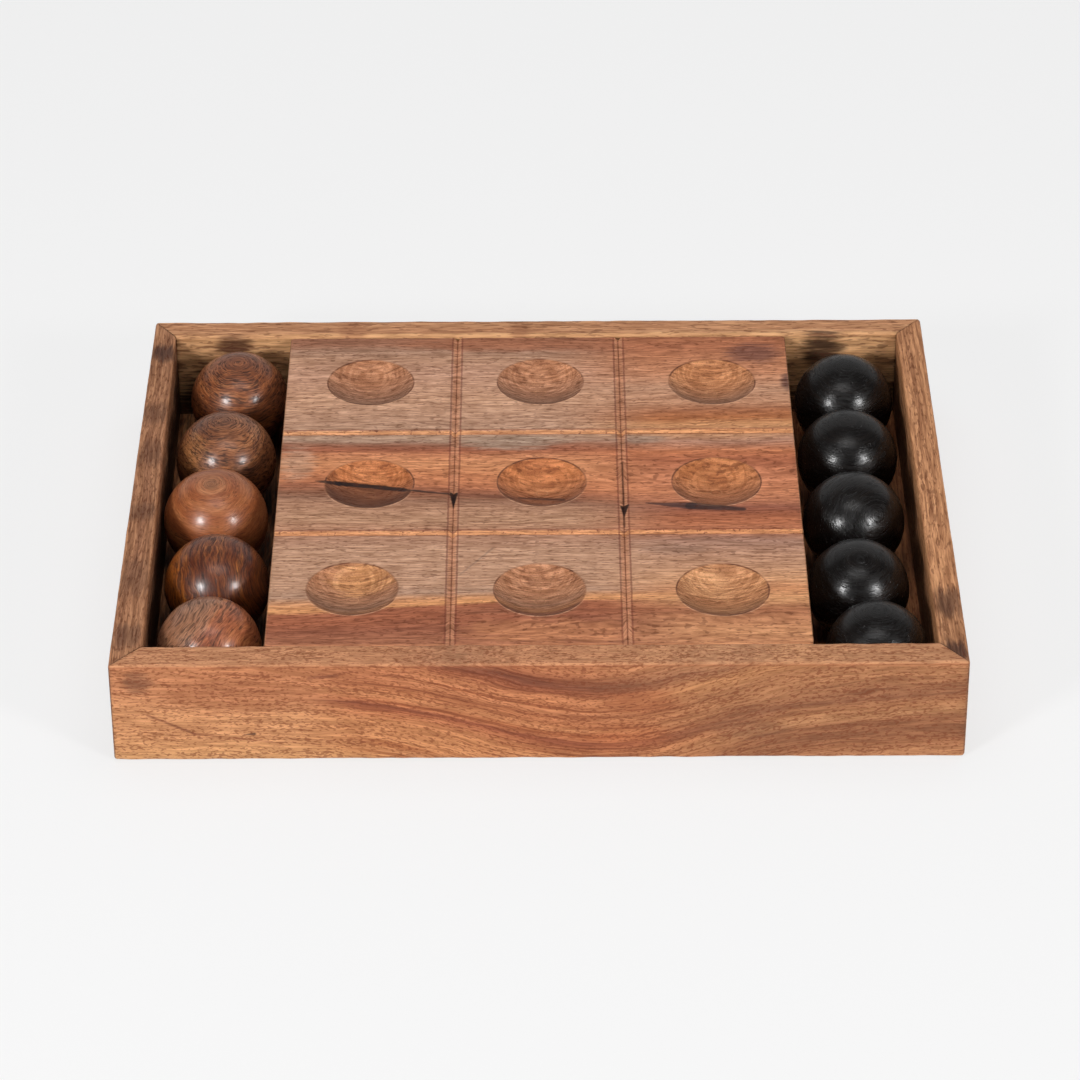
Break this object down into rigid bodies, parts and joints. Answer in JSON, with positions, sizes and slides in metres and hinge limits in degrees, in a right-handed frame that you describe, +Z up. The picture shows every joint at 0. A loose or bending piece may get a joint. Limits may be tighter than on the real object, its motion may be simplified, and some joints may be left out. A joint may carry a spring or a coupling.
{
  "type": "noughts and crosses board",
  "caption": "Wooden noughts-and-crosses set: a mitred tray with a grooved, dished playing board in the middle and a trough of turned wooden balls on each side.",
  "frame": {"origin": "middle of the tray's footprint, on the surface that it stands on", "axes": "+X along the tray's length to the black balls' trough, +Y to the back rail, +Z up"},
  "size_m": [0.3, 0.235, 0.0442],
  "materials": {
    "rail_wood": "satin oiled, open grain",
    "board_wood": "satin oiled, open grain",
    "panel_wood": "sanded, matt",
    "hidden_wood": "sawn, matt",
    "screw_steel": "zinc plated",
    "brown_ball_wood": "turned and polished",
    "black_ball_wood": "black stained and polished"
  },
  "bodies": {
    "tray": {"front_rail": "rail_wood", "back_rail": "rail_wood", "left_rail": "rail_wood", "right_rail": "rail_wood", "base_panel": "panel_wood", "left_batten": "hidden_wood", "centre_batten": "hidden_wood", "right_batten": "hidden_wood", "playing_board": "board_wood", "mitre_spline_front_left": "hidden_wood", "mitre_spline_front_right": "hidden_wood", "mitre_spline_back_left": "hidden_wood", "mitre_spline_back_right": "hidden_wood", "board_screw_1": "screw_steel", "board_screw_2": "screw_steel", "board_screw_3": "screw_steel", "board_screw_4": "screw_steel", "board_screw_5": "screw_steel", "board_screw_6": "screw_steel"},
    "brown_ball_1": {"brown_ball_1": "brown_ball_wood"},
    "brown_ball_2": {"brown_ball_2": "brown_ball_wood"},
    "brown_ball_3": {"brown_ball_3": "brown_ball_wood"},
    "brown_ball_4": {"brown_ball_4": "brown_ball_wood"},
    "brown_ball_5": {"brown_ball_5": "brown_ball_wood"},
    "black_ball_1": {"black_ball_1": "black_ball_wood"},
    "black_ball_2": {"black_ball_2": "black_ball_wood"},
    "black_ball_3": {"black_ball_3": "black_ball_wood"},
    "black_ball_4": {"black_ball_4": "black_ball_wood"},
    "black_ball_5": {"black_ball_5": "black_ball_wood"}
  },
  "joints": [
    {"name": "brown_ball_1_lift", "type": "slide", "parent": "tray", "child": "brown_ball_1", "axis": [0, 0, 1], "range_m": [0, 0.06]},
    {"name": "brown_ball_2_lift", "type": "slide", "parent": "tray", "child": "brown_ball_2", "axis": [0, 0, 1], "range_m": [0, 0.06]},
    {"name": "brown_ball_3_lift", "type": "slide", "parent": "tray", "child": "brown_ball_3", "axis": [0, 0, 1], "range_m": [0, 0.06]},
    {"name": "brown_ball_4_lift", "type": "slide", "parent": "tray", "child": "brown_ball_4", "axis": [0, 0, 1], "range_m": [0, 0.06]},
    {"name": "brown_ball_5_lift", "type": "slide", "parent": "tray", "child": "brown_ball_5", "axis": [0, 0, 1], "range_m": [0, 0.06]},
    {"name": "black_ball_1_lift", "type": "slide", "parent": "tray", "child": "black_ball_1", "axis": [0, 0, 1], "range_m": [0, 0.06]},
    {"name": "black_ball_2_lift", "type": "slide", "parent": "tray", "child": "black_ball_2", "axis": [0, 0, 1], "range_m": [0, 0.06]},
    {"name": "black_ball_3_lift", "type": "slide", "parent": "tray", "child": "black_ball_3", "axis": [0, 0, 1], "range_m": [0, 0.06]},
    {"name": "black_ball_4_lift", "type": "slide", "parent": "tray", "child": "black_ball_4", "axis": [0, 0, 1], "range_m": [0, 0.06]},
    {"name": "black_ball_5_lift", "type": "slide", "parent": "tray", "child": "black_ball_5", "axis": [0, 0, 1], "range_m": [0, 0.06]}
  ]
}
